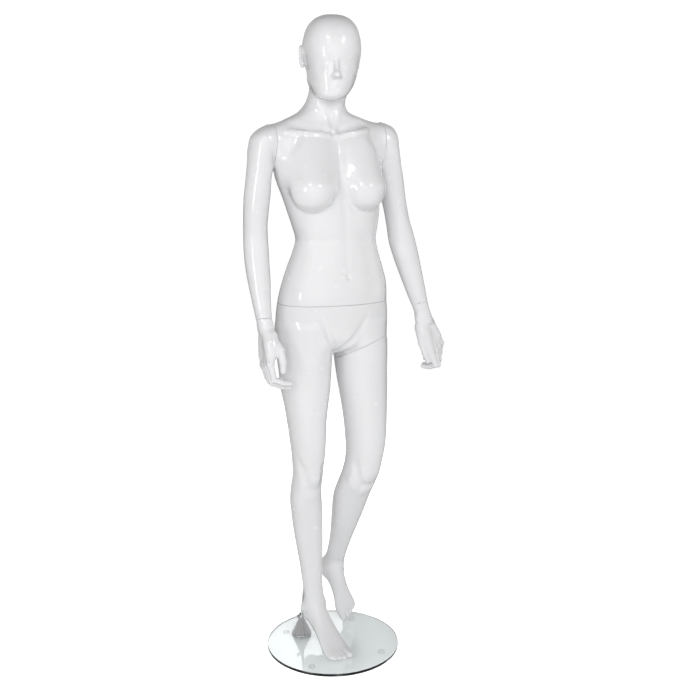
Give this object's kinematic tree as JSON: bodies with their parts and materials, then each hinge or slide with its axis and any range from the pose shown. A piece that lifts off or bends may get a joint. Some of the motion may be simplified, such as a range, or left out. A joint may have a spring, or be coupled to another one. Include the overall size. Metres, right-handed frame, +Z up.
{
  "type": "display mannequin",
  "caption": "Full body female display mannequin in a walking pose, gloss white, held by a calf rod on a round glass base; torso, arms, hands and one leg come apart at bayonet joints.",
  "frame": {"origin": "on the floor under the centre of the glass base, at the underside of the centre pad", "axes": "+Z up; the figure faces -Y, its right side is -X and its left side is +X"},
  "size_m": [0.548, 0.38, 1.753],
  "materials": {
    "gloss_white": "high-gloss white lacquer over glass fibre",
    "tempered_glass": "polished, light grey-green, dark ground edge",
    "polished_chrome": "mirror-polished chrome plate",
    "zinc_steel": "zinc plated",
    "plywood": "sanded birch ply",
    "clear_rubber": "clear, slightly frosted",
    "black_rubber": "matt",
    "nylon": "natural nylon"
  },
  "bodies": {
    "base": {"floor_pads": "clear_rubber", "glass_base": "tempered_glass", "flange_gasket": "black_rubber", "base_flange": "polished_chrome", "flange_bolt": "zinc_steel", "flange_washer": "zinc_steel", "bolt_sleeve": "nylon", "support_rod": "polished_chrome"},
    "clamp_screw": {"rod_clamp_screw": "polished_chrome"},
    "lower_body": {"lower_body": "gloss_white", "waist_board_lower": "plywood", "waist_socket": "zinc_steel", "leg_board_upper": "plywood", "leg_socket": "zinc_steel", "lower_body_screws": "zinc_steel", "calf_socket_tube": "zinc_steel"},
    "left_leg": {"left_leg": "gloss_white", "leg_board_lower": "plywood", "leg_stud": "zinc_steel", "leg_screws": "zinc_steel"},
    "upper_body": {"upper_body": "gloss_white", "waist_board_upper": "plywood", "waist_stud": "zinc_steel", "right_shoulder_board": "plywood", "left_shoulder_board": "plywood", "right_shoulder_socket": "zinc_steel", "left_shoulder_socket": "zinc_steel", "upper_body_screws": "zinc_steel"},
    "right_arm": {"right_arm": "gloss_white", "right_arm_board": "plywood", "right_arm_stud": "zinc_steel", "right_arm_screws": "zinc_steel", "right_wrist_socket": "nylon"},
    "left_arm": {"left_arm": "gloss_white", "left_arm_board": "plywood", "left_arm_stud": "zinc_steel", "left_arm_screws": "zinc_steel", "left_wrist_socket": "nylon"},
    "right_hand": {"right_hand": "gloss_white", "right_wrist_pin": "zinc_steel"},
    "left_hand": {"left_hand": "gloss_white", "left_wrist_pin": "zinc_steel"}
  },
  "joints": [
    {"name": "figure_lift", "type": "slide", "parent": "base", "child": "lower_body", "axis": [0.0695, -0.0894, 0.9936], "range_m": [0, 0.095]},
    {"name": "clamp_screw_turn", "type": "hinge", "parent": "base", "child": "clamp_screw", "pos_m": [-0.0683, 0.0751, 0.07], "axis": [-0.9404, -0.3401, 0], "range_deg": [0, 360]},
    {"name": "waist_turn", "type": "hinge", "parent": "lower_body", "child": "upper_body", "pos_m": [0.003, 0.002, 1.013], "axis": [0, 0, 1], "range_deg": [-5, 8]},
    {"name": "left_leg_turn", "type": "hinge", "parent": "lower_body", "child": "left_leg", "pos_m": [0.086, -0.001, 0.884], "axis": [-0.355, 0.2496, 0.901], "range_deg": [-12, 2]},
    {"name": "right_shoulder_turn", "type": "hinge", "parent": "upper_body", "child": "right_arm", "pos_m": [-0.16, 0.012, 1.428], "axis": [-1, 0, 0], "range_deg": [-3, 40]},
    {"name": "left_shoulder_turn", "type": "hinge", "parent": "upper_body", "child": "left_arm", "pos_m": [0.145, 0.012, 1.428], "axis": [-1, 0, 0], "range_deg": [-15, 40]},
    {"name": "right_wrist_turn", "type": "hinge", "parent": "right_arm", "child": "right_hand", "pos_m": [-0.2065, -0.034, 0.981], "axis": [0, -0.2707, -0.9627], "range_deg": [-20, 20]},
    {"name": "left_wrist_turn", "type": "hinge", "parent": "left_arm", "child": "left_hand", "pos_m": [0.2575, -0.018, 0.993], "axis": [0.2009, -0.2612, -0.9442], "range_deg": [-25, 25]}
  ]
}
